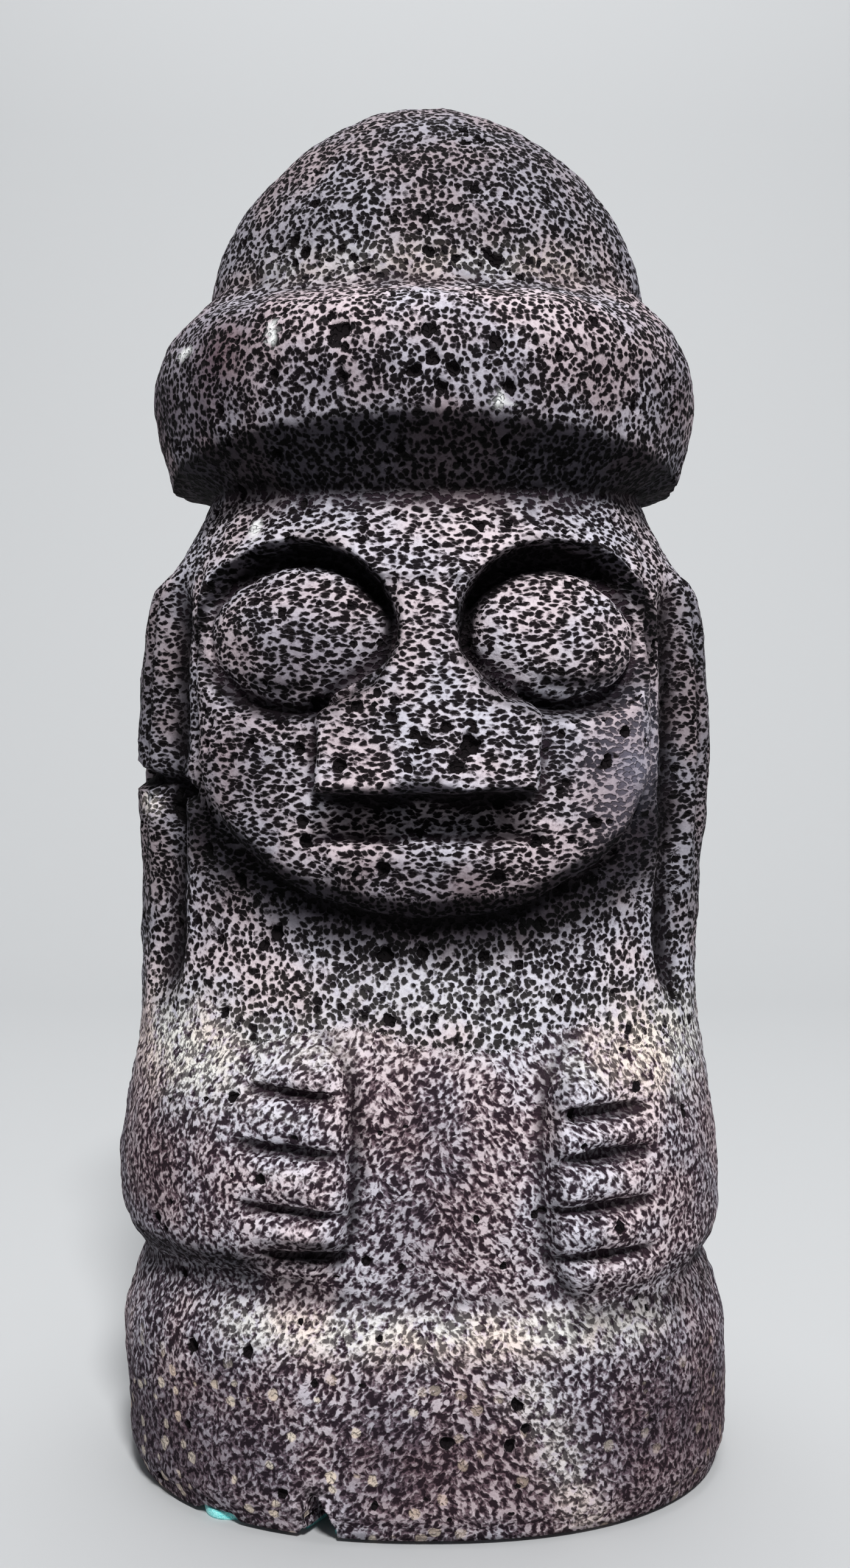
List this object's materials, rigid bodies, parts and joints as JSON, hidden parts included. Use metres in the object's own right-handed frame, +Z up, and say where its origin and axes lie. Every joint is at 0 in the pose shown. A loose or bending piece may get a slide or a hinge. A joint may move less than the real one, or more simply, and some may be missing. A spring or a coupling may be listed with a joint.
{
  "type": "dol hareubang statue",
  "caption": "Small standing stone guardian with a domed hat, bulging eyes, a broad nose and both hands on its belly, carved from porous basalt, with a thin felt pad underneath",
  "frame": {"origin": "on the flat underside of the felt pad, on which the statue stands, under the middle of the stone block", "axes": "+Z up along the figure's height, the face and hands towards -Y, +X to the right as one faces the figure"},
  "size_m": [0.0915, 0.0847, 0.2015],
  "materials": {
    "basalt": "rough, porous, matte",
    "felt": "matte felt"
  },
  "bodies": {
    "root": {"stone_figure": "basalt", "felt_pad": "felt"}
  },
  "joints": []
}
